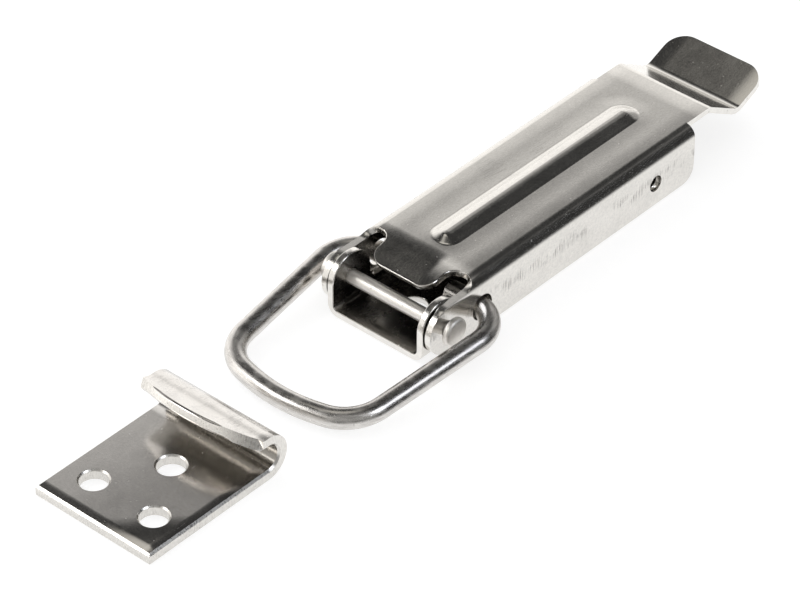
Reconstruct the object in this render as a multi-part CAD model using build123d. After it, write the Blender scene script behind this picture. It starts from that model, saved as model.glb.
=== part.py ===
"""Over centre toggle latch with its separate catch plate, in millimetres.

The origin is on the mounting face, straight below the pivot pin. +X runs back
along the lever to the finger tab, +Z is up, and Y runs along the pivot pin.
"""

import os
from math import acos, asin, atan2, cos, degrees, hypot, pi, radians, sin, tan

from build123d import *

# ---------------------------------------------------------------- shared sizes
PIN_AXIS_HEIGHT = 6.1        # pivot pin axis above the mounting face
PIN_RADIUS = 1.4
WIRE_RADIUS = 2.0            # bail wire
BAIL_AXIS_BEHIND_PIN = 9.3   # bail axis, measured back from the pivot pin
BAIL_AXIS_HEIGHT = 5.4
BAIL_HOLE_GAP = 0.6          # radial gap: the wire's bend has to pass the hole
PIN_HOLE_GAP = 0.15          # radial gap of the pivot pin in the ears
SIDE_CLEARANCE = 0.35        # gap between the lever's walls and the base's
CUT_MARGIN = 2.0             # how far a cutting tool runs past what it cuts
SAME_SIZE = 1e-3             # lengths nearer than this count as equal

# ----------------------------------------------------------------------- lever
LEVER_WIDTH = 25.4
LEVER_HEIGHT = 12.25         # top face above the mounting face
LEVER_SHEET = 1.2
LEVER_BEND_RADIUS = 2.45     # outside radius of the long side bends
LEVER_GROUND_GAP = 0.8       # side walls end this far above the mounting face
LEVER_EAR_FRONT_X = -4.7
LEVER_EAR_TOP = 10.6         # flat top of the ears, above the mounting face
FLANGE_REAR_X = 69.3
FLANGE_CORNER_RADIUS = 3.0

NOTCH_REAR_X = 7.85          # closed end of the two relief notches
NOTCH_SECTIONS = 8           # steps of the notch end around the side bend
NOTCH_TOOL_REACH = 1.0       # how far that tool runs past mid sheet
NOTCH_REACH = 5.6            # outside of the wall in to the tongue's side
TONGUE_TIP_X = 1.1
TONGUE_CURL_ANGLE = 25.0     # degrees the tongue turns down
TONGUE_STRAIGHT = 0.3        # straight end of the tongue
TONGUE_CORNER_RADIUS = 3.0

BEAD_FRONT_X = 11.1
BEAD_REAR_X = 66.3
BEAD_WIDTH = 6.2
BEAD_HEIGHT = 0.9

TAB_SHOULDER = 2.0           # each side of the tab stands in from the wall's outside
TAB_BEND_X = 76.1            # where the top face turns down
TAB_VALLEY_X = 84.6          # where the slope turns up again
TAB_VALLEY_HEIGHT = 7.4
TAB_TIP_X = 93.6
TAB_TIP_HEIGHT = 11.0
TAB_DOWN_RADIUS = 2.6        # on the top face
TAB_UP_RADIUS = 2.2          # on the top face
TAB_CORNER_RADIUS = 4.3

SNAP_X = 58.0                # snap hole and dimple, behind the pivot pin
SNAP_HEIGHT = 5.6
SNAP_HOLE_RADIUS = 1.65

# ------------------------------------------------------------------------ base
BASE_SHEET = 1.4
BASE_FRONT_X = -4.95
BASE_REAR_STEP = 0.6         # floor behind the rear lugs
BASE_REAR_CORNER = 0.25
BASE_BEND_RADIUS = 2.4       # outside radius
BASE_EAR_RADIUS = 5.0
BASE_WALL_GAP = 0.6          # low walls end this far under the bail's wire
BASE_LUG_RADIUS = 4.9
ROUND_END_FLAT = 0.4         # flat left on top of the ears and lugs
BASE_WALL_FILLET = 2.0
BASE_HOLE_RADIUS = 2.65
BASE_HOLE_FIRST_X = 5.5
BASE_HOLE_PITCH = 25.0
BASE_HOLE_COUNT = 3
DIMPLE_RADIUS = 1.3
DIMPLE_HEIGHT = 0.28

# ------------------------------------------------------------------- pivot pin
PIN_HEAD_RADIUS = 2.75
PIN_HEAD_THICKNESS = 1.2
PIN_HEAD_STANDOFF = 1.0      # head's inner face to the lever's wall
PIN_HEAD_EDGE = 0.3

# ------------------------------------------------------------------------ bail
BAIL_STUB_LENGTH = 6.4       # bent-in wire, inside the lever's wall
BAIL_ARM_GAP = 2.0           # from the pin head's outer face to the arm
BAIL_ARM_TAPER = 3.9         # each arm comes in by this much at the front bar
BAIL_FRONT_X = -29.65        # front bar's centre
BAIL_STUB_BEND_RADIUS = 7.0  # wire centre line
BAIL_CORNER_RADIUS = 8.5     # wire centre line
BAIL_BOW_RADIUS = 35.5       # wire centre line
BAIL_BOW_ANGLE = 14.0        # degrees from the front bar's middle to each end
STUB_END_EDGE = 0.4

# ---------------------------------------------------------------------- keeper
KEEPER_WIDTH = 26.6
KEEPER_SHEET = 2.0
KEEPER_FRONT_X = -74.1
KEEPER_HOOK_X = -40.8        # back of the hook
KEEPER_CENTRE_Y = 1.0        # set down a little to one side of the lever
HOOK_OUTER_RADIUS = 4.48
HOOK_BACK_FLAT = 0.04        # straight left between the hook's two bends
LIP_BEND_X = -46.6           # where the lip starts to flare upwards
LIP_BEND_RADIUS = 4.0        # on the top face
LIP_TIP_X = -50.0            # foremost point of the curved lip edge
LIP_TIP_OFFSET = 2.0         # that point, across from the keeper's middle
LIP_FLARE_ANGLE = 24.0
LIP_EDGE_RADIUS = 29.0
KEEPER_EDGE = 0.4            # edge break of the foot's top face
KEEPER_HOLE_RADIUS = 2.6
KEEPER_HOLE_EDGE = 0.3
KEEPER_PAIR_X = -66.55
KEEPER_PAIR_SPACING = 14.0
KEEPER_SINGLE_OFFSET = 11.4  # single hole, back from the pair


# --------------------------------------------------------------------- helpers
def offset_path(points, radii, thickness):
    """Return the path and bend radii a sheet's thickness to the left."""
    shifted = []
    for i, point in enumerate(points):
        before = points[i - 1] if i > 0 else None
        after = points[i + 1] if i < len(points) - 1 else None
        headings = []
        if before:
            headings.append(atan2(point[1] - before[1], point[0] - before[0]))
        if after:
            headings.append(atan2(after[1] - point[1], after[0] - point[0]))
        turn = headings[-1] - headings[0]
        middle = headings[0] + atan2(sin(turn), cos(turn)) / 2
        reach = thickness / cos(middle - headings[0])
        shifted.append((point[0] - reach * sin(middle), point[1] + reach * cos(middle)))
    new_radii = []
    for i, radius in enumerate(radii):
        a, b, c = points[i], points[i + 1], points[i + 2]
        cross = (b[0] - a[0]) * (c[1] - b[1]) - (b[1] - a[1]) * (c[0] - b[0])
        new_radii.append(radius - thickness if cross > 0 else radius + thickness)
    return shifted, new_radii


def rounded_edges(points, radii, closed=False):
    """Lines through the points, with each inner corner rounded to its radius."""
    count = len(points)
    corners = range(count) if closed else range(1, count - 1)
    starts = {}
    ends = {}
    arcs = {}
    for k, i in enumerate(corners):
        here = Vector(*points[i])
        back = (Vector(*points[i - 1]) - here).normalized()
        ahead = (Vector(*points[(i + 1) % count]) - here).normalized()
        if radii[k] <= 0:
            continue
        half = radians(back.get_angle(ahead)) / 2
        reach = radii[k] / tan(half)
        centre = here + (back + ahead).normalized() * (radii[k] / sin(half))
        ends[i] = here + back * reach
        starts[i] = here + ahead * reach
        middle = centre + (here - centre).normalized() * radii[k]
        arcs[i] = ThreePointArc(ends[i], middle, starts[i])
    edges = []
    for i in range(count):
        if i in arcs:
            edges.append(arcs[i])
        if i == count - 1 and not closed:
            break
        j = (i + 1) % count
        start = starts.get(i, Vector(*points[i]))
        end = ends.get(j, Vector(*points[j]))
        if (end - start).length > SAME_SIZE:
            edges.append(Line(start, end))
    return edges


def sheet_section(path, radii, thickness):
    """Flat face of bent sheet: the path is one side, the other lies to its left."""
    other, other_radii = offset_path(path, radii, thickness)
    loop = path + other[::-1]
    loop_radii = [0] + radii + [0, 0] + other_radii[::-1] + [0]
    return make_face(rounded_edges(loop, loop_radii, closed=True))


def along_y(face, width):
    """Extrude a face drawn in X and Z to a width centred on the mid plane."""
    return extrude(Plane.XZ * face, amount=width / 2, both=True)


def box_between(low, high):
    """Box from its low corner to its high corner."""
    size = [high[i] - low[i] for i in range(3)]
    centre = [(high[i] + low[i]) / 2 for i in range(3)]
    return Pos(*centre) * Box(*size)


def cross_cylinder(x, z, radius, length):
    """Cylinder along Y, centred on the mid plane."""
    return Pos(x, 0, z) * Rot(90, 0, 0) * Cylinder(radius, length)


# ------------------------------------------------------------------------ base
def base_side_outline():
    """Side view of the base: ears, low walls and rear lugs, as one solid."""
    lug_front = SNAP_X - BASE_LUG_RADIUS
    lug_rear = SNAP_X + BASE_LUG_RADIUS
    base_rear = lug_rear + BASE_REAR_STEP
    ear_rear = BASE_FRONT_X + 2 * BASE_EAR_RADIUS
    wall_height = BAIL_AXIS_HEIGHT - WIRE_RADIUS - BASE_WALL_GAP
    outline = [
        (BASE_FRONT_X, 0),
        (base_rear, 0),
        (base_rear, wall_height),
        (lug_rear, wall_height),
        (lug_rear, SNAP_HEIGHT + BASE_LUG_RADIUS),
        (lug_front, SNAP_HEIGHT + BASE_LUG_RADIUS),
        (lug_front, wall_height),
        (ear_rear, wall_height),
        (ear_rear, PIN_AXIS_HEIGHT + BASE_EAR_RADIUS),
        (BASE_FRONT_X, PIN_AXIS_HEIGHT + BASE_EAR_RADIUS),
    ]
    lug_round = BASE_LUG_RADIUS - ROUND_END_FLAT / 2
    ear_round = BASE_EAR_RADIUS - ROUND_END_FLAT / 2
    radii = [0, 0, BASE_REAR_CORNER, 0, lug_round, lug_round]
    radii += [BASE_WALL_FILLET, BASE_WALL_FILLET, ear_round, ear_round]
    return make_face(rounded_edges(outline, radii, closed=True))


def make_base():
    """Channel that is screwed down: ears for the pin, lugs with snap dimples."""
    half = LEVER_WIDTH / 2 - LEVER_SHEET - SIDE_CLEARANCE
    top = PIN_AXIS_HEIGHT + BASE_EAR_RADIUS + CUT_MARGIN
    path = [(half, top), (half, 0), (-half, 0), (-half, top)]
    section = sheet_section(path, [BASE_BEND_RADIUS] * 2, -BASE_SHEET)
    rear = SNAP_X + BASE_LUG_RADIUS + BASE_REAR_STEP
    channel = extrude(Plane.YZ * section, amount=rear - BASE_FRONT_X)
    channel = Pos(BASE_FRONT_X, 0, 0) * channel
    base = channel & along_y(base_side_outline(), LEVER_WIDTH)

    base -= cross_cylinder(0, PIN_AXIS_HEIGHT, PIN_RADIUS + PIN_HOLE_GAP, LEVER_WIDTH)
    for i in range(BASE_HOLE_COUNT):
        x = BASE_HOLE_FIRST_X + i * BASE_HOLE_PITCH
        base -= Pos(x, 0, 0) * Cylinder(BASE_HOLE_RADIUS, 2 * (BASE_SHEET + CUT_MARGIN))

    ball = (DIMPLE_RADIUS**2 + DIMPLE_HEIGHT**2) / (2 * DIMPLE_HEIGHT)
    for side in (-1, 1):
        bump = Pos(SNAP_X, side * (half + DIMPLE_HEIGHT - ball), SNAP_HEIGHT) * Sphere(ball)
        wall = box_between(
            (SNAP_X - ball, min(side * half, side * (half + ball)), SNAP_HEIGHT - ball),
            (SNAP_X + ball, max(side * half, side * (half + ball)), SNAP_HEIGHT + ball),
        )
        base += bump & wall
        inner = half - BASE_SHEET
        hollow = Pos(SNAP_X, side * (inner + DIMPLE_HEIGHT - ball), SNAP_HEIGHT) * Sphere(ball)
        keep = box_between(
            (SNAP_X - ball, min(side * inner, side * half), SNAP_HEIGHT - ball),
            (SNAP_X + ball, max(side * inner, side * half), SNAP_HEIGHT + ball),
        )
        base -= hollow & keep
    return base


# ----------------------------------------------------------------------- lever
def lever_channel():
    """Top plate and side walls, as far back as the walls go."""
    half = LEVER_WIDTH / 2
    front = LEVER_EAR_FRONT_X
    path = [(half, LEVER_GROUND_GAP), (half, LEVER_HEIGHT), (-half, LEVER_HEIGHT), (-half, LEVER_GROUND_GAP)]
    section = sheet_section(path, [LEVER_BEND_RADIUS] * 2, LEVER_SHEET)
    channel = extrude(Plane.YZ * section, amount=FLANGE_REAR_X - front)
    return Pos(front, 0, 0) * channel


def ear_outline():
    """Side view of the lever's walls: round front ends, round rear corners."""
    radius = (LEVER_EAR_TOP - LEVER_GROUND_GAP) / 2
    front = LEVER_EAR_FRONT_X + radius
    top = LEVER_HEIGHT + CUT_MARGIN
    walls = Rectangle(FLANGE_REAR_X - front, top - LEVER_GROUND_GAP, align=(Align.MIN, Align.MIN))
    walls = Pos(front, LEVER_GROUND_GAP) * walls
    rear = walls.vertices().group_by(Axis.X)[-1].sort_by(Axis.Y)[0]
    walls = fillet(rear, FLANGE_CORNER_RADIUS)
    return walls + Pos(front, LEVER_GROUND_GAP + radius) * Circle(radius)


def notch_sizes():
    """End radius of a notch in the flat blank, its centre, and the bend's place."""
    bend_y = LEVER_WIDTH / 2 - LEVER_BEND_RADIUS
    bend_z = LEVER_HEIGHT - LEVER_BEND_RADIUS
    mid_radius = LEVER_BEND_RADIUS - LEVER_SHEET / 2
    flat = bend_y - (LEVER_WIDTH / 2 - NOTCH_REACH)
    ear_angle = asin((LEVER_EAR_TOP - bend_z) / LEVER_BEND_RADIUS)
    end_radius = (flat + mid_radius * (pi / 2 - ear_angle)) / 2
    return bend_y, bend_z, mid_radius, flat, ear_angle, end_radius


def notch_flat_tool(side):
    """Cuts one notch in the flat of the top plate, up to the side bend."""
    bend_y, bend_z, mid_radius, flat, ear_angle, end_radius = notch_sizes()
    centre_x = NOTCH_REAR_X - end_radius
    front = LEVER_EAR_FRONT_X - CUT_MARGIN
    tongue_half = bend_y - flat
    plan = Pos(centre_x, side * (tongue_half + end_radius)) * Circle(end_radius)
    plan += Pos((front + centre_x) / 2, side * (tongue_half + end_radius)) * Rectangle(
        centre_x - front, 2 * end_radius
    )
    middle = side * (tongue_half + flat / 2)
    plan &= Pos(centre_x, middle) * Rectangle(2 * (NOTCH_REAR_X - front), flat)
    return extrude(plan, amount=LEVER_HEIGHT + CUT_MARGIN)


def notch_bend_tool(side):
    """Carries the round end of one notch on around the side bend to the ear."""
    bend_y, bend_z, mid_radius, flat, ear_angle, end_radius = notch_sizes()
    centre_x = NOTCH_REAR_X - end_radius
    front = LEVER_EAR_FRONT_X - CUT_MARGIN
    start = acos((end_radius - flat) / end_radius)
    sections = []
    for i in range(NOTCH_SECTIONS + 1):
        phase = start + (pi - start) * i / NOTCH_SECTIONS
        along = end_radius * (1 - cos(phase)) - flat
        share = along / (2 * end_radius - flat)
        bend = pi / 2 - share * (pi / 2 - ear_angle)
        tilt = pi / 2 * (1 - share)
        rear = centre_x + end_radius * sin(phase)
        place = Plane(
            origin=(
                (front + rear) / 2,
                side * (bend_y + mid_radius * cos(bend)),
                bend_z + mid_radius * sin(bend) + share * LEVER_SHEET / 2 * sin(ear_angle),
            ),
            x_dir=(1, 0, 0),
            z_dir=(0, side * sin(tilt), -cos(tilt)),
        )
        sections.append(place * Rectangle(rear - front, LEVER_SHEET + 2 * NOTCH_TOOL_REACH))
    return loft(sections)


def front_plate():
    """Front end of the top plate: curled down, notched and with round corners."""
    bend_y, bend_z, mid_radius, flat, ear_angle, end_radius = notch_sizes()
    angle = radians(TONGUE_CURL_ANGLE)
    radius = (NOTCH_REAR_X - TONGUE_TIP_X - TONGUE_STRAIGHT * cos(angle)) / sin(angle)
    reach = radius * tan(angle / 2)
    corner_x = NOTCH_REAR_X - reach
    tip_x = corner_x - (reach + TONGUE_STRAIGHT) * cos(angle)
    tip_z = LEVER_HEIGHT - (reach + TONGUE_STRAIGHT) * sin(angle)
    path = [(NOTCH_REAR_X + LEVER_SHEET, LEVER_HEIGHT), (corner_x, LEVER_HEIGHT), (tip_x, tip_z)]
    plate = along_y(sheet_section(path, [radius], LEVER_SHEET), 2 * bend_y)
    tip = Pos(tip_x, 0, tip_z) * Rot(0, -TONGUE_CURL_ANGLE, 0)
    tongue_half = bend_y - flat
    for side in (-1, 1):
        plate -= notch_flat_tool(side)
        corner = Pos(0, side * tongue_half, 0) * Box(
            2 * TONGUE_CORNER_RADIUS, 2 * TONGUE_CORNER_RADIUS, LEVER_HEIGHT
        )
        corner -= Pos(TONGUE_CORNER_RADIUS, side * (tongue_half - TONGUE_CORNER_RADIUS), 0) * Cylinder(
            TONGUE_CORNER_RADIUS, 2 * LEVER_HEIGHT
        )
        plate -= tip * corner
    return plate


def lever_tab():
    """Plate behind the side walls: down slope, then the upturned finger tab."""
    path = [
        (TAB_TIP_X, TAB_TIP_HEIGHT),
        (TAB_VALLEY_X, TAB_VALLEY_HEIGHT),
        (TAB_BEND_X, LEVER_HEIGHT),
        (FLANGE_REAR_X, LEVER_HEIGHT),
    ]
    section = sheet_section(path, [TAB_UP_RADIUS, TAB_DOWN_RADIUS], LEVER_SHEET)
    tab = along_y(section, LEVER_WIDTH - 2 * TAB_SHOULDER)
    corners = tab.edges().filter_by(lambda edge: abs(edge.length - LEVER_SHEET) < SAME_SIZE)
    return fillet(corners.sort_by(Axis.X)[-2:], TAB_CORNER_RADIUS)


def bead_capsule(radius, centre_z, end_inset):
    """Long round bar with ball ends, the tool that shapes the bead."""
    front = BEAD_FRONT_X + end_inset
    rear = BEAD_REAR_X - end_inset
    bar = Pos((front + rear) / 2, 0, centre_z) * Rot(0, 90, 0) * Cylinder(radius, rear - front)
    return bar + Pos(front, 0, centre_z) * Sphere(radius) + Pos(rear, 0, centre_z) * Sphere(radius)


def make_lever():
    """Pressed handle: channel with pivot ears, stiffening bead and finger tab."""
    lever = lever_channel() & along_y(ear_outline(), LEVER_WIDTH + CUT_MARGIN)
    bend_y, bend_z, mid_radius, flat, ear_angle, end_radius = notch_sizes()
    lever -= box_between(
        (LEVER_EAR_FRONT_X - CUT_MARGIN, -bend_y, bend_z),
        (NOTCH_REAR_X, bend_y, LEVER_HEIGHT + CUT_MARGIN),
    )
    for side in (-1, 1):
        lever -= notch_bend_tool(side)
    lever += front_plate()
    lever += lever_tab()

    radius = ((BEAD_WIDTH / 2) ** 2 + BEAD_HEIGHT**2) / (2 * BEAD_HEIGHT)
    centre_z = LEVER_HEIGHT + BEAD_HEIGHT - radius
    above = box_between(
        (BEAD_FRONT_X - radius, -radius, LEVER_HEIGHT - LEVER_SHEET / 2),
        (BEAD_REAR_X + radius, radius, LEVER_HEIGHT + CUT_MARGIN),
    )
    lever += bead_capsule(radius, centre_z, BEAD_WIDTH / 2) & above
    lever -= bead_capsule(radius - LEVER_SHEET, centre_z, BEAD_WIDTH / 2)

    lever -= cross_cylinder(0, PIN_AXIS_HEIGHT, PIN_RADIUS + PIN_HOLE_GAP, 2 * LEVER_WIDTH)
    lever -= cross_cylinder(
        BAIL_AXIS_BEHIND_PIN, BAIL_AXIS_HEIGHT, WIRE_RADIUS + BAIL_HOLE_GAP, 2 * LEVER_WIDTH
    )
    lever -= cross_cylinder(SNAP_X, SNAP_HEIGHT, SNAP_HOLE_RADIUS, 2 * LEVER_WIDTH)
    return lever


# ------------------------------------------------------------------- pivot pin
def make_pivot_pin():
    """Round pin through both pairs of ears, with a flat head at each end."""
    inner = LEVER_WIDTH / 2 + PIN_HEAD_STANDOFF
    pin = Cylinder(PIN_RADIUS, 2 * inner)
    for side in (-1, 1):
        middle = side * (inner + PIN_HEAD_THICKNESS / 2)
        head = Pos(0, 0, middle) * Cylinder(PIN_HEAD_RADIUS, PIN_HEAD_THICKNESS)
        rims = head.edges().filter_by(GeomType.CIRCLE).sort_by(Axis.Z)
        head = chamfer(rims[-1] if side > 0 else rims[0], PIN_HEAD_EDGE)
        pin += head
    return Pos(0, 0, PIN_AXIS_HEIGHT) * Rot(90, 0, 0) * pin


# ------------------------------------------------------------------------ bail
def make_bail():
    """Wire loop: ends bent in through the lever, arms, corners and bowed bar."""
    run = BAIL_AXIS_BEHIND_PIN - BAIL_FRONT_X
    drop = BAIL_AXIS_HEIGHT - WIRE_RADIUS
    length = hypot(run, drop)
    bow = radians(BAIL_BOW_ANGLE)
    arm_y = LEVER_WIDTH / 2 + PIN_HEAD_STANDOFF + PIN_HEAD_THICKNESS + BAIL_ARM_GAP + WIRE_RADIUS
    stub_y = LEVER_WIDTH / 2 - LEVER_SHEET - BAIL_STUB_LENGTH
    taper = BAIL_ARM_TAPER / length
    peak = length + BAIL_BOW_RADIUS * (1 / cos(bow) - 1)
    corner_y = (arm_y - taper * peak) / (1 - taper * tan(bow))
    corner_u = peak - corner_y * tan(bow)
    path = [
        (0, stub_y),
        (0, arm_y),
        (corner_u, corner_y),
        (peak, 0),
        (corner_u, -corner_y),
        (0, -arm_y),
        (0, -stub_y),
    ]
    radii = [
        BAIL_STUB_BEND_RADIUS,
        BAIL_CORNER_RADIUS,
        BAIL_BOW_RADIUS,
        BAIL_CORNER_RADIUS,
        BAIL_STUB_BEND_RADIUS,
    ]
    loop_plane = Plane(
        origin=(BAIL_AXIS_BEHIND_PIN, 0, BAIL_AXIS_HEIGHT),
        x_dir=(-run / length, 0, -drop / length),
        z_dir=(drop / length, 0, -run / length),
    )
    centre_line = Wire([loop_plane * edge for edge in rounded_edges(path, radii)])
    start = Plane(origin=centre_line @ 0, z_dir=centre_line % 0)
    bail = sweep(start * Circle(WIRE_RADIUS), path=centre_line)
    ends = bail.edges().filter_by(GeomType.CIRCLE).sort_by(lambda edge: abs(edge.center().Y))[:2]
    return chamfer(ends, STUB_END_EDGE)


# ---------------------------------------------------------------------- keeper
def make_keeper():
    """Catch plate: flat foot with three screw holes and a hook for the bail."""
    flare = radians(LIP_FLARE_ANGLE)
    hook_top = 2 * HOOK_OUTER_RADIUS + HOOK_BACK_FLAT
    reach = LIP_BEND_X - LIP_TIP_X + KEEPER_SHEET
    path = [
        (KEEPER_FRONT_X, 0),
        (KEEPER_HOOK_X, 0),
        (KEEPER_HOOK_X, hook_top),
        (LIP_BEND_X, hook_top),
        (LIP_BEND_X - reach, hook_top + reach * tan(flare)),
    ]
    radii = [HOOK_OUTER_RADIUS, HOOK_OUTER_RADIUS, LIP_BEND_RADIUS]
    section = sheet_section(path, radii, KEEPER_SHEET)
    keeper = along_y(section, KEEPER_WIDTH)

    level_faces = keeper.faces().filter_by(Plane.XY)
    foot_top = level_faces.sort_by(lambda face: abs(face.center().Z - KEEPER_SHEET))[0]
    edges = foot_top.edges().filter_by(Axis.Y).sort_by(Axis.X)[:1]
    edges += foot_top.edges().filter_by(Axis.X)
    keeper = chamfer(edges, KEEPER_EDGE)

    tip_height = hook_top + (LIP_BEND_X - LIP_TIP_X) * tan(flare)
    tip_place = Pos(LIP_TIP_X, LIP_TIP_OFFSET, tip_height) * Rot(0, LIP_FLARE_ANGLE, 0)
    front_block = box_between(
        (-LIP_EDGE_RADIUS, -KEEPER_WIDTH, -hook_top),
        (LIP_EDGE_RADIUS, KEEPER_WIDTH, hook_top),
    )
    front_block -= Pos(LIP_EDGE_RADIUS, 0, 0) * Cylinder(LIP_EDGE_RADIUS, 2 * (hook_top + CUT_MARGIN))
    lip_zone = box_between(
        (KEEPER_FRONT_X, -KEEPER_WIDTH, KEEPER_SHEET + WIRE_RADIUS),
        (LIP_BEND_X, KEEPER_WIDTH, 2 * hook_top),
    )
    keeper -= (tip_place * front_block) & lip_zone

    holes = [
        (KEEPER_PAIR_X, -KEEPER_PAIR_SPACING / 2),
        (KEEPER_PAIR_X, KEEPER_PAIR_SPACING / 2),
        (KEEPER_PAIR_X + KEEPER_SINGLE_OFFSET, 0),
    ]
    for x, y in holes:
        keeper -= Pos(x, y, 0) * Cylinder(KEEPER_HOLE_RADIUS, 2 * (KEEPER_SHEET + CUT_MARGIN))
    rims = [
        edge
        for edge in keeper.edges().filter_by(GeomType.CIRCLE)
        if abs(edge.center().Z - KEEPER_SHEET) < SAME_SIZE
    ]
    keeper = chamfer(rims, KEEPER_HOLE_EDGE)
    return Pos(0, KEEPER_CENTRE_Y, 0) * keeper


# ---------------------------------------------------------------------- export
def main():
    """Build every piece and write one STEP file for each."""
    os.makedirs("parts", exist_ok=True)
    pieces = {
        "base": make_base(),
        "lever": make_lever(),
        "pivot_pin": make_pivot_pin(),
        "bail": make_bail(),
        "keeper": make_keeper(),
    }
    for name, piece in pieces.items():
        export_step(piece, os.path.join("parts", name + ".step"))
        print(name, round(piece.volume, 2), piece.bounding_box(), len(piece.solids()))


main()
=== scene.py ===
"""Looks of an over centre toggle latch and its catch plate, in metres."""

from math import hypot, pi, radians, sqrt

import bmesh
import bpy
from mathutils import Matrix, Vector


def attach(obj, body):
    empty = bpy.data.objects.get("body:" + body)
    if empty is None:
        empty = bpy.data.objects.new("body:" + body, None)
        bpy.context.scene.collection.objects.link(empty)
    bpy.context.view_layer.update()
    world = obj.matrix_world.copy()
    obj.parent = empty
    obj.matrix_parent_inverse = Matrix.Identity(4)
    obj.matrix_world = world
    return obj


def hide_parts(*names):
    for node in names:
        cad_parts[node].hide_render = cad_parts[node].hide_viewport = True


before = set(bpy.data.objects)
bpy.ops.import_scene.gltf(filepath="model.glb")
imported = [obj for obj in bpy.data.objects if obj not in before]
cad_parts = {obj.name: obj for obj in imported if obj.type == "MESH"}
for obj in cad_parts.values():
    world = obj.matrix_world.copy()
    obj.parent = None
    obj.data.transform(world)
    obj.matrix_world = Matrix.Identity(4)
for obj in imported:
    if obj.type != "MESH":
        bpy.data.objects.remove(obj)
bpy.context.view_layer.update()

# ---------------------------------------------------------------------- camera
# A long lens, well back from the latch and above it, on the catch plate's side
# and to the right of the lever.
CAMERA_PLACE = Vector((-0.42477, -0.37356, 0.44493))
CAMERA_RIGHT = Vector((0.66159, -0.74985, 0.00488))
CAMERA_UP = Vector((0.45731, 0.40863, 0.78987))
FOCAL_LENGTH = 183.53
SENSOR_WIDTH = 36.0
NEAREST_SEEN = 0.01

camera_data = bpy.data.cameras.new("camera")
camera_data.sensor_width = SENSOR_WIDTH
camera_data.lens = FOCAL_LENGTH
camera_data.clip_start = NEAREST_SEEN
camera = bpy.data.objects.new("camera", camera_data)
bpy.context.collection.objects.link(camera)
camera_axes = (CAMERA_RIGHT, CAMERA_UP, CAMERA_RIGHT.cross(CAMERA_UP))
camera.matrix_world = Matrix.Translation(CAMERA_PLACE) @ Matrix(camera_axes).transposed().to_4x4()
bpy.context.scene.camera = camera
bpy.context.scene.view_settings.view_transform = "Standard"

# ----------------------------------------------------------------------- table
# A smooth white table top of painted board, just under the latch. Seen from above
# it is plain white; bright metal that mirrors it at a low angle sees the room's
# reflection in its polish instead.
MM = 0.001
TABLE_SIZE = 6000 * MM
TABLE_DROP = 0.05 * MM
TABLE_WHITE = 0.4
TABLE_GLOW = 0.75
TABLE_GLOW_IN_METAL = 0.8
TABLE_POLISH = 0.12
POLISH_STARTS = 0.45
POLISH_FULL = 0.88


class Tree:
    """Short ways to put nodes into one node tree and join them."""

    def __init__(self, tree):
        self.tree = tree

    def add(self, kind, settings=None, **inputs):
        node = self.tree.nodes.new(kind)
        for name, value in (settings or {}).items():
            setattr(node, name, value)
        for name, value in inputs.items():
            self.feed(node, name.replace("_", " "), value)
        return node

    def feed(self, node, socket, value):
        target = node.inputs[int(socket[1:]) if socket[1:].isdigit() else socket]
        if isinstance(value, bpy.types.NodeSocket):
            self.tree.links.new(value, target)
        else:
            target.default_value = value

    def math(self, operation, *values):
        node = self.tree.nodes.new("ShaderNodeMath")
        node.operation = operation
        for i, value in enumerate(values):
            self.feed(node, f"i{i}", value)
        return node.outputs[0]

    def ramp(self, value, low, high, start=0.0, end=1.0):
        node = self.tree.nodes.new("ShaderNodeMapRange")
        node.interpolation_type = "SMOOTHSTEP"
        for i, number in enumerate((value, low, high, start, end)):
            self.feed(node, f"i{i}", number)
        return node.outputs[0]

    def vector(self, operation, *values):
        """A vector, or a number where the operation is a dot product."""
        node = self.tree.nodes.new("ShaderNodeVectorMath")
        node.operation = operation
        for i, value in enumerate(values):
            self.feed(node, "Scale" if operation == "SCALE" and i == 1 else f"i{i}", value)
        return node.outputs["Value" if operation == "DOT_PRODUCT" else "Vector"]

    def even(self, value):
        """The same number along all three axes."""
        return self.add("ShaderNodeCombineXYZ", X=value, Y=value, Z=value).outputs[0]

    def noise(self, place, detail):
        return self.add("ShaderNodeTexNoise", Vector=place, Scale=1.0, Detail=detail).outputs["Fac"]


def empty_tree(owner):
    owner.use_nodes = True
    owner.node_tree.nodes.clear()
    return Tree(owner.node_tree)


half = TABLE_SIZE / 2
table_corners = [(-half, -half, 0), (half, -half, 0), (half, half, 0), (-half, half, 0)]
table_mesh = bpy.data.meshes.new("table_top")
table_mesh.from_pydata(table_corners, [], [(0, 1, 2, 3)])
table_top = bpy.data.objects.new("table_top", table_mesh)
table_top.location.z = -TABLE_DROP
bpy.context.collection.objects.link(table_top)

table_white = bpy.data.materials.new("table_white")
tree = empty_tree(table_white)
matt = tree.add("ShaderNodeBsdfDiffuse", Color=(TABLE_WHITE, TABLE_WHITE, TABLE_WHITE, 1))
rays = tree.add("ShaderNodeLightPath").outputs
mirrored = tree.math("MAXIMUM", rays["Is Glossy Ray"], rays["Is Transmission Ray"])
level = tree.math("MULTIPLY", rays["Is Camera Ray"], TABLE_GLOW)
level = tree.math("ADD", level, tree.math("MULTIPLY", mirrored, TABLE_GLOW_IN_METAL))
glow = tree.add("ShaderNodeEmission", Strength=level)
white = tree.add("ShaderNodeAddShader", i0=matt.outputs[0], i1=glow.outputs[0])
polish = tree.add("ShaderNodeBsdfGlossy", Color=(1, 1, 1, 1), Roughness=TABLE_POLISH)
low_angle = tree.add("ShaderNodeLayerWeight", Blend=0.5).outputs["Facing"]
polished = tree.ramp(low_angle, POLISH_STARTS, POLISH_FULL)
share = tree.math("MULTIPLY", rays["Is Glossy Ray"], polished)
top = tree.add("ShaderNodeMixShader", i0=share, i1=white.outputs[0], i2=polish.outputs[0])
tree.add("ShaderNodeOutputMaterial", Surface=top.outputs[0])
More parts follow.
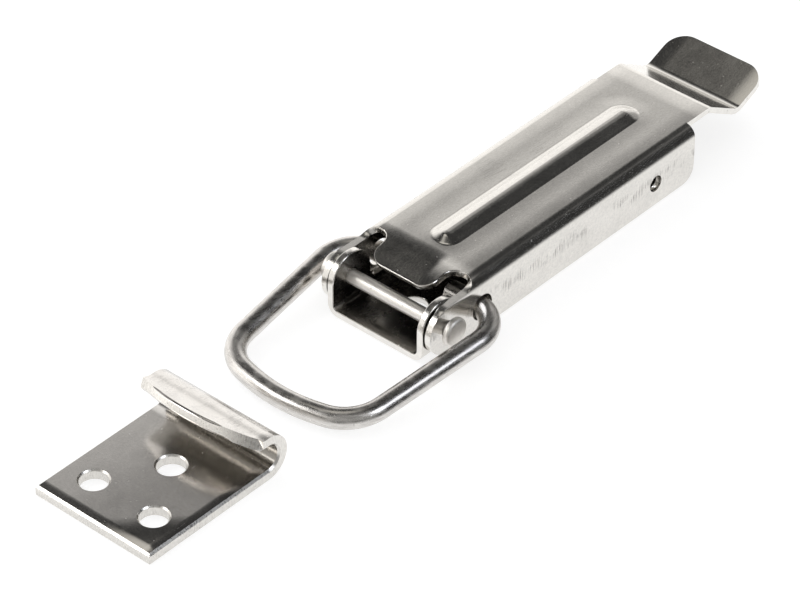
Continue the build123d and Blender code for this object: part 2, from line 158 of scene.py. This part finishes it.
table_mesh.materials.append(table_white)

# ---------------------------------------------------------------------- studio
# Plain soft light: a tall white backdrop wraps round the left and the back, a
# cool soft box stands to the right, and grey walls close the near side and the
# gap on the right; the room behind them is dark. Each patch is a stretch of the
# room: azimuth and elevation of its middle, half its width and height, how
# softly it ends, its strength and its colour.
ROOM_LEVEL = 0.03
AMBIENT_LEVEL = 0.72
PATCHES = (
    # azimuth, elevation, half width, half height, soft width, soft height, strength, colour
    (75, 0, 57, 34.5, 14, 31, 1.25, (1.0, 0.985, 0.965)),
    (155, 0, 30, 36, 24, 30, 1.05, (1.0, 0.98, 0.95)),
    (139, 37, 12, 7, 12, 8, 6.5, (1.0, 0.99, 0.98)),
    (-78, 39, 14, 10, 12, 10, 5.0, (0.94, 0.98, 1.06)),
    (94, 79, 50, 15, 30, 7, 0.72, (1.0, 0.97, 0.9)),
    (228, 36, 46, 34, 26, 30, 0.38, (1.0, 0.99, 0.97)),
    (-6, 22, 24, 18, 12, 14, 0.4, (1.0, 0.99, 0.97)),
)

world = bpy.data.worlds.new("studio")
bpy.context.scene.world = world
tree = empty_tree(world)
look = tree.add("ShaderNodeTexCoord").outputs["Generated"]
look = tree.add("ShaderNodeSeparateXYZ", i0=look).outputs
azimuth = tree.math("ARCTAN2", look["Y"], look["X"])
elevation = tree.math("ARCSINE", look["Z"])
room = (ROOM_LEVEL, ROOM_LEVEL, ROOM_LEVEL)
for middle_az, middle_el, wide, tall, soft_wide, soft_tall, strength, colour in PATCHES:
    across = tree.math("SUBTRACT", azimuth, radians(middle_az))
    across = tree.math("ABSOLUTE", tree.math("WRAP", across, pi, -pi))
    upward = tree.math("ABSOLUTE", tree.math("SUBTRACT", elevation, radians(middle_el)))
    across = tree.ramp(across, radians(wide - soft_wide / 2), radians(wide + soft_wide / 2), 1, 0)
    upward = tree.ramp(upward, radians(tall - soft_tall / 2), radians(tall + soft_tall / 2), 1, 0)
    level = tree.math("MULTIPLY", tree.math("MULTIPLY", across, upward), strength)
    room = tree.vector("ADD", room, tree.vector("SCALE", colour, level))
reflected = tree.add("ShaderNodeBackground", Color=room)
ambient = tree.add("ShaderNodeBackground", Strength=AMBIENT_LEVEL)
backdrop = tree.add("ShaderNodeBackground", Strength=1.0)
for plain in (ambient, backdrop):
    plain.inputs["Color"].default_value = (1, 1, 1, 1)
rays = tree.add("ShaderNodeLightPath").outputs
shown = tree.math("MAXIMUM", rays["Is Glossy Ray"], rays["Is Transmission Ray"])
light = tree.add("ShaderNodeMixShader", i0=shown, i1=ambient.outputs[0], i2=reflected.outputs[0])
seen = rays["Is Camera Ray"]
final = tree.add("ShaderNodeMixShader", i0=seen, i1=light.outputs[0], i2=backdrop.outputs[0])
tree.add("ShaderNodeOutputWorld", Surface=final.outputs[0])

# One real lamp, high on the left, lights what isn't mirror bright and casts the
# shadow. Metal doesn't show it, because the patches above are what it mirrors.
SOFT_BOX_PLACE = Vector((0.1, 1.1, 0.8))
SOFT_BOX_WIDTH = 1.1
SOFT_BOX_HEIGHT = 0.7
SOFT_BOX_WATTS = 6

soft_box_data = bpy.data.lights.new("left_light", "AREA")
soft_box_data.shape = "RECTANGLE"
soft_box_data.size = SOFT_BOX_WIDTH
soft_box_data.size_y = SOFT_BOX_HEIGHT
soft_box_data.energy = SOFT_BOX_WATTS
soft_box = bpy.data.objects.new("left_light", soft_box_data)
soft_box.location = SOFT_BOX_PLACE
soft_box.rotation_euler = (-SOFT_BOX_PLACE).to_track_quat("-Z", "Y").to_euler()
soft_box.visible_glossy = False
bpy.context.collection.objects.link(soft_box)

# ------------------------------------------------------------------------ base
# The channel that is screwed down: one pressing of stainless sheet, with ears
# that carry the pivot pin. Its skin is bright rolled metal and its rim is the
# raw sheared edge, rubbed round by tumbling.
BASE_EDGE = 0.38 * MM
SAME_PLACE = 0.0005 * MM
FLAT_ANGLE = radians(0.4)
SHARP_ANGLE = radians(30)
RIM_ANGLE = radians(40)
SKINS = 2
EDGE_STEPS = 3
FACES_UP = 0.5
FACES_MIDDLE = -0.3
SKIN_COLOUR = (0.715, 0.695, 0.66)
RIM_COLOUR = (0.78, 0.76, 0.725)


def whole_faced_copy(node, name):
    """A copy of a frame node whose flat faces are whole again."""
    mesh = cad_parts[node].data.copy()
    mesh.name = name
    if mesh.attributes.get("custom_normal"):
        mesh.attributes.remove(mesh.attributes["custom_normal"])
    mesh.materials.clear()
    shape = bmesh.new()
    shape.from_mesh(mesh)
    bmesh.ops.remove_doubles(shape, verts=shape.verts, dist=SAME_PLACE)
    bmesh.ops.dissolve_limit(
        shape,
        angle_limit=FLAT_ANGLE,
        verts=shape.verts,
        edges=shape.edges,
        use_dissolve_boundaries=False,
    )
    shape.to_mesh(mesh)
    shape.free()
    piece = bpy.data.objects.new(name, mesh)
    bpy.context.collection.objects.link(piece)
    return piece


def mark_rim(piece):
    """Second material on every face that isn't on one of the sheet's two skins."""
    shape = bmesh.new()
    shape.from_mesh(piece.data)
    left = set(shape.faces)
    regions = []
    while left:
        seed = left.pop()
        region = [seed]
        front = [seed]
        while front:
            face = front.pop()
            for edge in face.edges:
                if len(edge.link_faces) != 2 or edge.calc_face_angle() > RIM_ANGLE:
                    continue
                for other in edge.link_faces:
                    if other in left:
                        left.remove(other)
                        region.append(other)
                        front.append(other)
        regions.append(region)
    regions.sort(key=lambda faces: -sum(face.calc_area() for face in faces))
    for region in regions[SKINS:]:
        for face in region:
            face.material_index = 1
    shape.to_mesh(piece.data)
    shape.free()


def faces_middle(centre, normal):
    """True on faces that look towards the latch's middle plane."""
    return normal.y * centre.y < FACES_MIDDLE * abs(centre.y)


def mark_inside(piece, is_inside):
    """Third material, a dark painted shade, on the skin faces that the test picks out."""
    for face in piece.data.polygons:
        if face.material_index == 0 and is_inside(face.center, face.normal):
            face.material_index = 2


def round_edges(piece, width):
    """Rounds every sharp edge a little and keeps the flats flat in shading."""
    piece.data.shade_smooth()
    bevel = piece.modifiers.new("rounded edges", "BEVEL")
    bevel.width = width
    bevel.segments = EDGE_STEPS
    bevel.limit_method = "ANGLE"
    bevel.angle_limit = SHARP_ANGLE
    bevel.miter_outer = "MITER_ARC"
    flats = piece.modifiers.new("flat faces stay flat", "WEIGHTED_NORMAL")
    flats.weight = 100
    flats.keep_sharp = True


def new_group(name, inputs, outputs):
    group = bpy.data.node_groups.new(name, "ShaderNodeTree")
    for label, kind, value in inputs:
        socket = group.interface.new_socket(label, in_out="INPUT", socket_type=kind)
        socket.default_value = value
    for label, kind in outputs:
        group.interface.new_socket(label, in_out="OUTPUT", socket_type=kind)
    tree = Tree(group)
    return group, tree, tree.add("NodeGroupInput").outputs, tree.add("NodeGroupOutput")


# Rolled metal: a long fine grain, broad cloudiness, short scratches and pinprick
# specks, each as a mask that a material turns into gloss, colour or height.
FEWEST_SCRATCHES = 0.82
SCRATCH_SOFTNESS = 0.05
SPECK_RIM = (0.08, 0.22)

worked, tree, given, result = new_group(
    "worked_metal",
    (
        ("Grain Size", "NodeSocketVector", (0.004, 0.0003, 0.0003)),
        ("Cloud Size", "NodeSocketVector", (0.006, 0.006, 0.006)),
        ("Scratch Size", "NodeSocketVector", (0.004, 0.00015, 0.00015)),
        ("Scratch Share", "NodeSocketFloat", 0.2),
        ("Speck Size", "NodeSocketFloat", 0.0012),
        ("Speck Share", "NodeSocketFloat", 0.2),
    ),
    (
        ("Grain", "NodeSocketFloat"),
        ("Clouds", "NodeSocketFloat"),
        ("Scratches", "NodeSocketFloat"),
        ("Specks", "NodeSocketFloat"),
    ),
)
place = tree.add("ShaderNodeTexCoord").outputs["Object"]
for label, size in (("Grain", "Grain Size"), ("Clouds", "Cloud Size")):
    tree.feed(result, label, tree.noise(tree.vector("DIVIDE", place, given[size]), 3.0))
streaks = tree.noise(tree.vector("DIVIDE", place, given["Scratch Size"]), 1.0)
edge = tree.math("SUBTRACT", FEWEST_SCRATCHES, tree.math("MULTIPLY", given["Scratch Share"], 0.3))
tree.feed(result, "Scratches", tree.ramp(streaks, edge, tree.math("ADD", edge, SCRATCH_SOFTNESS)))
spot = tree.vector("DIVIDE", place, tree.even(given["Speck Size"]))
cells = tree.add("ShaderNodeTexVoronoi", Vector=spot, Scale=1.0)
picked = tree.add("ShaderNodeSeparateColor", Color=cells.outputs["Color"]).outputs[0]
picked = tree.math("LESS_THAN", picked, given["Speck Share"])
dots = tree.ramp(cells.outputs["Distance"], *SPECK_RIM, 1, 0)
tree.feed(result, "Specks", tree.math("MULTIPLY", picked, dots))


# Rubbed marks: short parallel lines that come in groups, as sheet gets them from
# sliding over a die or against the next piece in the tumbling drum.
LINE_RIM = (0.46, 0.6)
FEWEST_GROUPS = 0.72
GROUP_SOFTNESS = 0.12

rubbed, tree, given, result = new_group(
    "rubbed_marks",
    (
        ("Line Size", "NodeSocketVector", (0.0001, 0.002, 0.002)),
        ("Group Size", "NodeSocketFloat", 0.006),
        ("Share", "NodeSocketFloat", 0.5),
        ("Turn", "NodeSocketVector", (0, 0, 0)),
    ),
    (("Marks", "NodeSocketFloat"),),
)
place = tree.add("ShaderNodeTexCoord").outputs["Object"]
euler = {"rotation_type": "EULER_XYZ"}
turned = tree.add("ShaderNodeVectorRotate", euler, Vector=place, Rotation=given["Turn"]).outputs[0]
lines = tree.noise(tree.vector("DIVIDE", turned, given["Line Size"]), 2.0)
lines = tree.ramp(lines, *LINE_RIM)
groups = tree.noise(tree.vector("DIVIDE", place, tree.even(given["Group Size"])), 1.0)
edge = tree.math("SUBTRACT", FEWEST_GROUPS, tree.math("MULTIPLY", given["Share"], 0.4))
groups = tree.ramp(groups, edge, tree.math("ADD", edge, GROUP_SOFTNESS))
tree.feed(result, "Marks", tree.math("MULTIPLY", lines, groups))


def slow_form(tree, bends):
    """Height of bends too slight for the solids, in metres.

    Each bend falls away past a line: (kind, direction, where it starts, its
    steepest slope, how long it takes to get there). "one" is one line, "both"
    works on both sides of the middle plane, and "ring" has the two ends of a
    line along X in place of the direction: the form falls away towards it.
    """
    place = tree.add("ShaderNodeTexCoord").outputs["Object"]
    mirrored = tree.vector("ABSOLUTE", place)
    height = 0.0
    for kind, direction, start, slope, softness in bends:
        if kind == "ring":
            split = tree.add("ShaderNodeSeparateXYZ", i0=place).outputs
            nearest = tree.math("MAXIMUM", split["X"], direction[0])
            nearest = tree.math("MINIMUM", nearest, direction[1])
            away = tree.math("SUBTRACT", split["X"], nearest)
            away = tree.math("MULTIPLY", away, away)
            aside = tree.math("MULTIPLY", split["Y"], split["Y"])
            along = tree.math("SQRT", tree.math("ADD", away, aside))
            along = tree.math("MULTIPLY", along, -1.0)
        else:
            along = tree.vector("DOT_PRODUCT", mirrored if kind == "both" else place, direction)
        past = tree.math("MAXIMUM", tree.math("SUBTRACT", along, start), 0.0)
        square = tree.math("ADD", tree.math("MULTIPLY", past, past), softness**2)
        fall = tree.math("SUBTRACT", tree.math("SQRT", square), softness)
        height = tree.math("SUBTRACT", height, tree.math("MULTIPLY", fall, slope))
    return height


# How squarely a face has to look one way to carry that way's rubbed marks, how
# gently they end above and below, and how far a speck stands up beside the grain.
SQUARE_ON = (0.8, 0.95)
MARKS_END = 1.0 * MM
SPECK_RISE = 0.6


def metal(
    name,
    colour,
    roughness,
    grain,
    clouds,
    scratches,
    specks,
    sizes,
    bump,
    marks=(),
    bends=(),
    local_bends=(),
):
    """A bare metal: each effect is (change of roughness, change of tone).

    marks are the rubbed marks on faces that look one way, between two heights.
    bends work all over; each local one is (bends, (direction, where it is
    nothing, where it is full)).
    """
    material = bpy.data.materials.new(name)
    tree = empty_tree(material)
    surface = tree.add("ShaderNodeGroup", {"node_tree": worked}, **sizes).outputs
    masks = [
        (tree.math("SUBTRACT", surface["Grain"], 0.5), grain),
        (tree.math("SUBTRACT", surface["Clouds"], 0.5), clouds),
        (surface["Scratches"], scratches),
        (surface["Specks"], specks),
    ]
    coordinates = tree.add("ShaderNodeTexCoord").outputs
    for mark in marks:
        lines = tree.add(
            "ShaderNodeGroup",
            {"node_tree": rubbed},
            Line_Size=mark["line"],
            Group_Size=mark["group"],
            Share=mark["share"],
            Turn=mark["turn"],
        ).outputs[0]
        faced = tree.vector("DOT_PRODUCT", coordinates["Normal"], mark["faces"])
        lines = tree.math("MULTIPLY", lines, tree.ramp(faced, *SQUARE_ON))
        z = tree.add("ShaderNodeSeparateXYZ", i0=coordinates["Object"]).outputs["Z"]
        low, high = mark["between"]
        lines = tree.math("MULTIPLY", lines, tree.ramp(z, low - MARKS_END, low + MARKS_END))
        lines = tree.math("MULTIPLY", lines, tree.ramp(z, high + MARKS_END, high - MARKS_END))
        masks.append((lines, mark["effect"]))
    rough = roughness
    tone = 1.0
    for mask, (gloss, shade) in masks:
        rough = tree.math("ADD", rough, tree.math("MULTIPLY", mask, gloss))
        tone = tree.math("ADD", tone, tree.math("MULTIPLY", mask, shade))
    tint = tree.vector("SCALE", colour, tone)
    relief = tree.math("ADD", surface["Grain"], tree.math("MULTIPLY", surface["Scratches"], -1.0))
    relief = tree.math("ADD", relief, tree.math("MULTIPLY", surface["Specks"], SPECK_RISE))
    bumps = tree.add("ShaderNodeBump", Strength=1.0, Distance=bump, Height=relief)
    if bends:
        form = slow_form(tree, bends)
        before = bumps.outputs[0]
        bumps = tree.add("ShaderNodeBump", Strength=1.0, Distance=1.0, Height=form, Normal=before)
    for some_bends, (direction, none, full) in local_bends:
        form = slow_form(tree, some_bends)
        along = tree.vector("DOT_PRODUCT", coordinates["Object"], direction)
        share = tree.ramp(along, none, full)
        before = bumps.outputs[0]
        bumps = tree.add("ShaderNodeBump", Strength=share, Distance=1.0, Height=form, Normal=before)
    shader = tree.add("ShaderNodeBsdfPrincipled", Metallic=1.0, Base_Color=tint, Roughness=rough)
    tree.feed(shader, "Normal", bumps.outputs[0])
    tree.add("ShaderNodeOutputMaterial", Surface=shader.outputs[0])
    return material


rim_metal = metal(
    "tumbled_rim",
    RIM_COLOUR,
    0.22,
    grain=(0.12, 0.2),
    clouds=(0.12, 0.15),
    scratches=(0.1, -0.15),
    specks=(0.0, -0.3),
    sizes={
        "Grain_Size": (0.0008, 0.0008, 0.0008),
        "Cloud_Size": (0.0015, 0.0015, 0.0015),
        "Scratch_Size": (0.0003, 0.0003, 0.0012),
    },
    bump=0.000001,
)
base_skin = metal(
    "base_steel",
    SKIN_COLOUR,
    0.14,
    grain=(0.06, 0.15),
    clouds=(0.1, 0.15),
    scratches=(0.1, -0.15),
    specks=(0.1, 0.15),
    sizes={"Grain_Size": (0.0006, 0.0003, 0.0003), "Speck_Size": 0.0008},
    bump=0.0000015,
)
# Painted shade: a dark metal laid on faces inside the channel, under the lever, on the pin heads'
# inner faces and inside the hook, where shade falls.
painted_shade_inside = metal(
    "painted_shade_inside",
    (0.28, 0.267, 0.245),
    0.26,
    grain=(0.1, 0.3),
    clouds=(0.2, 0.5),
    scratches=(0.1, 0.3),
    specks=(0.0, 0.8),
    sizes={
        "Grain_Size": (0.0006, 0.0003, 0.0003),
        "Cloud_Size": (0.004, 0.004, 0.004),
        "Speck_Size": 0.0012,
    },
    bump=0.000003,
)

base = whole_faced_copy("base", "base_channel")
mark_rim(base)
# The channel's floor and the inner faces of its walls get the painted shade.
mark_inside(base, lambda centre, normal: normal.z > FACES_UP or faces_middle(centre, normal))
round_edges(base, BASE_EDGE)
for finish in (base_skin, rim_metal, painted_shade_inside):
    base.data.materials.append(finish)
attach(base, "mounting")
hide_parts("base")

# ------------------------------------------------------------------- pivot pin
# A stainless pin through both pairs of ears, with a turned head at each end. Its
# shank is drawn and left satin; the heads' inner faces are painted darker as
# painted shade.
PIN_EDGE = 0.18 * MM
HEAD_INSIDE = -0.9

pin_steel = metal(
    "pin_steel",
    (0.86, 0.835, 0.795),
    0.48,
    grain=(0.12, 0.2),
    clouds=(0.15, 0.15),
    scratches=(0.1, -0.25),
    specks=(0.0, -0.3),
    sizes={"Grain_Size": (0.0003, 0.002, 0.0003), "Scratch_Size": (0.0002, 0.0015, 0.0002)},
    bump=0.000004,
)
pin = whole_faced_copy("pivot_pin", "pivot_pin_headed")
# The heads' inner faces get the painted shade.
mark_inside(pin, lambda centre, normal: normal.y * centre.y < HEAD_INSIDE * abs(centre.y))
round_edges(pin, PIN_EDGE)
for finish in (pin_steel, rim_metal, painted_shade_inside):
    pin.data.materials.append(finish)
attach(pin, "mounting")
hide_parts("pivot_pin")

# ----------------------------------------------------------------------- lever
# The handle, pressed from one piece of stainless sheet: channel with pivot ears,
# curled tongue, stiffening bead and finger tab. The bead runs into the top face
# through a soft crease, and the tongue's rim is rubbed rounder than the rest.
LEVER_EDGE = 0.3 * MM
TONGUE_EDGE = 0.2 * MM
TONGUE_REAR = 12.5 * MM
TONGUE_LOW = 8.0 * MM
NOTCH_ASIDE = 9.4 * MM
TOP_HEIGHT = 12.25 * MM
BEAD_FRONT = 11.1 * MM
BEAD_REAR = 66.3 * MM
BEAD_HALF = 3.1 * MM
BEAD_FOOT = 2.8 * MM
BEAD_ASIDE = -0.35 * MM
BEAD_RISE = 0.9 * MM
STEEP_TOP = 0.9 * MM
STEEP_FOOT = 2.95 * MM
STEEP_SOFT = 0.2
CREASE_HALF = 0.7 * MM
CREASE_STEPS = 8
CREASE_ANGLES = (radians(10), radians(45))
CREASE_REACH = 1.2 * BEAD_HALF
FRONT_CUTS = 2
BEAD_LOWEST = TOP_HEIGHT - 0.3 * MM
GROOVE_DEPTH = 0.025 * MM
GROOVE_PEAK = 6.75
FACES_DOWN = -0.5


def bead_height(distance):
    """Height of the top face, by distance from the bead's spine."""
    ball = (BEAD_FOOT**2 + BEAD_RISE**2) / (2 * BEAD_RISE)
    inner = BEAD_FOOT - CREASE_HALF
    if distance < inner:
        return TOP_HEIGHT + BEAD_RISE - ball + sqrt(ball**2 - distance**2)
    t = min((distance - inner) / (2 * CREASE_HALF), 1.0)
    start = BEAD_RISE - ball + sqrt(ball**2 - inner**2)
    slope = -inner / sqrt(ball**2 - inner**2) * 2 * CREASE_HALF
    rise = (2 * t**3 - 3 * t**2 + 1) * start + (t**3 - 2 * t**2 + t) * slope
    return TOP_HEIGHT + rise - GROOVE_DEPTH * (t**2 * (1 - t) * GROOVE_PEAK)


def steep_height(distance):
    """The same at the bead's front end, which rises steeply."""
    t = min(max((distance - STEEP_TOP) / (STEEP_FOOT - STEEP_TOP), 0.0), 1.0)
    steepest = 1 / (1 - STEEP_SOFT)
    if t < STEEP_SOFT:
        fallen = steepest * t**2 / (2 * STEEP_SOFT)
    elif t < 1 - STEEP_SOFT:
        fallen = steepest * (t - STEEP_SOFT / 2)
    else:
        fallen = 1 - steepest * (1 - t) ** 2 / (2 * STEEP_SOFT)
    return TOP_HEIGHT + BEAD_RISE * (1 - fallen)


def spine_distance(point):
    """Distance across the top face from the line along the bead's middle."""
    front = BEAD_FRONT + BEAD_HALF
    rear = BEAD_REAR - BEAD_HALF
    nearest = min(max(point.x, front), rear)
    return hypot(point.x - nearest, point.y - BEAD_ASIDE)


def in_crease(vert):
    return abs(vert.co.z - TOP_HEIGHT) < 2 * SAME_PLACE and spine_distance(vert.co) < CREASE_REACH


def in_front_end(vert):
    """True on the bead's rounded front end and the top face's edge round it."""
    behind = vert.co.x - BEAD_FRONT - BEAD_HALF
    raised = vert.co.z > TOP_HEIGHT - SAME_PLACE
    return raised and behind < SAME_PLACE and hypot(behind, vert.co.y) < BEAD_HALF


def shape_bead(piece):
    """Soft crease round the bead in place of the sharp one."""
    shape = bmesh.new()
    shape.from_mesh(piece.data)
    low, high = CREASE_ANGLES
    crease = [
        edge
        for edge in shape.edges
        if len(edge.link_faces) == 2
        and low < edge.calc_face_angle() < high
        and all(in_crease(vert) for vert in edge.verts)
    ]
    bmesh.ops.bevel(
        shape,
        geom=crease,
        offset=CREASE_HALF,
        offset_type="WIDTH",
        segments=CREASE_STEPS,
        profile=0.5,
        affect="EDGES",
        clamp_overlap=False,
    )
    front_end = [edge for edge in shape.edges if all(in_front_end(vert) for vert in edge.verts)]
    bmesh.ops.subdivide_edges(shape, edges=front_end, cuts=FRONT_CUTS, use_grid_fill=True)
    for vert in shape.verts:
        distance = spine_distance(vert.co)
        if vert.co.z > BEAD_LOWEST and distance < BEAD_HALF + CREASE_HALF:
            ahead = max(BEAD_FRONT + BEAD_HALF - vert.co.x, 0.0) / max(distance, SAME_PLACE)
            steep = ahead**2
            vert.co.z = (1 - steep) * bead_height(distance) + steep * steep_height(distance)
    shape.to_mesh(piece.data)
    shape.free()


# Edges that the maker's tumbling drum reached best: how sharp they were, and how
# far one of their faces looks up.
RUBBED_ANGLE = radians(50)
RUBBED_FACE = 0.3


def round_chosen(piece, is_chosen, width, steps):
    """Rounds the upper edges that the test picks out, wider than the rest."""
    shape = bmesh.new()
    shape.from_mesh(piece.data)
    chosen = [
        edge
        for edge in shape.edges
        if len(edge.link_faces) == 2
        and edge.calc_face_angle() > RUBBED_ANGLE
        and all(is_chosen(vert.co) for vert in edge.verts)
        and max(face.normal.z for face in edge.link_faces) > RUBBED_FACE
    ]
    bmesh.ops.bevel(
        shape, geom=chosen, offset=width, segments=steps, profile=0.5, affect="EDGES"
    )
    shape.to_mesh(piece.data)
    shape.free()


lever_skin = metal(
    "lever_steel",
    SKIN_COLOUR,
    0.18,
    grain=(0.1, 0.3),
    clouds=(0.08, 0.2),
    scratches=(0.1, -0.12),
    specks=(0.15, 0.25),
    sizes={
        "Grain_Size": (0.0005, 0.0003, 0.0004),
        "Cloud_Size": (0.005, 0.003, 0.004),
        "Speck_Size": 0.0009,
        "Speck_Share": 0.06,
    },
    bump=0.000002,
    marks=(
        {
            "line": (0.00023, 0.01, 0.006),
            "group": 0.0035,
            "share": 0.68,
            "turn": (0, 0, 0),
            "faces": (0, -1, 0),
            "between": (0.0053, 0.0075),
            "effect": (0.15, -0.4),
        },
        {
            "line": (0.004, 0.00012, 0.01),
            "group": 0.01,
            "share": 0.3,
            "turn": (0, 0, 0.1),
            "faces": (0, 0, 1),
            "between": (0.012, 0.02),
            "effect": (0.1, -0.2),
        },
    ),
    bends=(
        ("ring", (0.0142, 0.0632), -0.0065, -0.06, 0.0035),
        ("both", (0, 1, 0), 0.0073, 0.09, 0.003),
        ("one", (1, 0, 0), 0.0715, 0.08, 0.002),
        ("one", (1, 0, 0), 0.0752, -0.08, 0.001),
    ),
    local_bends=(
        (
            (("one", (-1, 0, 0), -0.0102, 0.2, 0.002), ("one", (-1, 0, 0), -0.006, -0.2, 0.002)),
            ((0, 1, 0), -0.0052, -0.0032),
        ),
        ((("one", (-1, 0, 0), -0.0102, -0.33, 0.012),), ((0, -1, 0), 0.0032, 0.0052)),
    ),
)


def on_tongue(place):
    """True on the tongue's rim and the notches beside it, short of the side bends."""
    return place.x < TONGUE_REAR and place.z > TONGUE_LOW and abs(place.y) < NOTCH_ASIDE


lever = whole_faced_copy("lever", "lever_handle")
mark_rim(lever)
# The lever's underside and the inner faces of its walls get the painted shade.
mark_inside(lever, lambda centre, normal: normal.z < FACES_DOWN or faces_middle(centre, normal))
shape_bead(lever)
round_chosen(lever, on_tongue, TONGUE_EDGE, EDGE_STEPS)
round_edges(lever, LEVER_EDGE)
for finish in (lever_skin, rim_metal, painted_shade_inside):
    lever.data.materials.append(finish)
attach(lever, "lever")
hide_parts("lever")

# ------------------------------------------------------------------------ bail
# One length of drawn stainless wire, bent in a former, with its ends turned in
# through the lever's walls.
BAIL_EDGE = 0.3 * MM

wire_steel = metal(
    "wire_steel",
    (0.64, 0.62, 0.595),
    0.28,
    grain=(0.2, 0.9),
    clouds=(0.25, 0.5),
    scratches=(0.15, -0.3),
    specks=(0.15, 0.5),
    sizes={
        "Grain_Size": (0.002, 0.002, 0.00016),
        "Cloud_Size": (0.003, 0.003, 0.001),
        "Scratch_Size": (0.0003, 0.0003, 0.002),
        "Speck_Size": 0.0007,
    },
    bump=0.000006,
)
bail = whole_faced_copy("bail", "bail_wire")
round_edges(bail, BAIL_EDGE)
bail.data.materials.append(wire_steel)
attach(bail, "bail")
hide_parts("bail")

# ---------------------------------------------------------------------- keeper
# The catch plate: thicker stainless strip, pierced, then folded back over
# itself into a hook with a flared lip.
KEEPER_EDGE = 0.17 * MM
LIP_EDGE = 0.55 * MM
LIP_STEPS = 4
LIP_FOOT = 7.5 * MM
HOOK_MOUTH = -50.5 * MM
LIP_REAR = -49.0 * MM
FOOT_TOP = 2.05 * MM
HOOK_ROOF = 8.0 * MM
HOOK_MIDDLE = Vector((-45.3 * MM, 0, 4.5 * MM))

keeper_skin = metal(
    "keeper_steel",
    (0.71, 0.688, 0.66),
    0.18,
    grain=(0.08, 0.2),
    clouds=(0.1, 0.2),
    scratches=(0.1, -0.12),
    specks=(0.1, 0.2),
    sizes={
        "Grain_Size": (0.0003, 0.0005, 0.0003),
        "Cloud_Size": (0.004, 0.004, 0.004),
        "Speck_Size": 0.0009,
    },
    bump=0.000002,
    marks=(
        {
            "line": (0.0012, 0.0001, 0.002),
            "group": 0.003,
            "share": 0.7,
            "turn": (0, 0, 0.2),
            "faces": (0, 0, 1),
            "between": (0.008, 0.02),
            "effect": (0.1, -0.13),
        },
    ),
    bends=(
        ("one", (0, -1, 0), 0.0102, 0.26, 0.0012),
        ("one", (-1, 0, 0), 0.0719, 0.26, 0.001),
        ("one", (0, 1, 0), 0.002, 0.05, 0.014),
        ("one", (-0.71, -0.71, 0), 0.0515, 0.24, 0.008),
        ("one", (1, 0, 0), -0.047, 0.14, 0.001),
    ),
)
keeper_rim = metal(
    "sheared_rim",
    (0.70, 0.68, 0.645),
    0.3,
    grain=(0.25, 0.6),
    clouds=(0.1, 0.2),
    scratches=(0.1, -0.3),
    specks=(0.0, -0.5),
    sizes={
        "Grain_Size": (0.0003, 0.0003, 0.0009),
        "Scratch_Size": (0.0003, 0.0003, 0.0012),
        "Speck_Size": 0.0008,
    },
    bump=0.00001,
)


def in_hook(centre, normal):
    """True on the faces inside the hook, which look towards its middle; they get painted shade."""
    if centre.x < HOOK_MOUTH or not FOOT_TOP < centre.z < HOOK_ROOF:
        return False
    return normal.dot(Vector((centre.x, 0, centre.z)) - HOOK_MIDDLE) < 0


keeper = whole_faced_copy("keeper", "keeper_hook")
mark_rim(keeper)
# The faces inside the hook get the painted shade.
mark_inside(keeper, in_hook)
round_chosen(keeper, lambda place: place.z > LIP_FOOT and place.x < LIP_REAR, LIP_EDGE, LIP_STEPS)
round_edges(keeper, KEEPER_EDGE)
for finish in (keeper_skin, keeper_rim, painted_shade_inside):
    keeper.data.materials.append(finish)
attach(keeper, "mounting")
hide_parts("keeper")
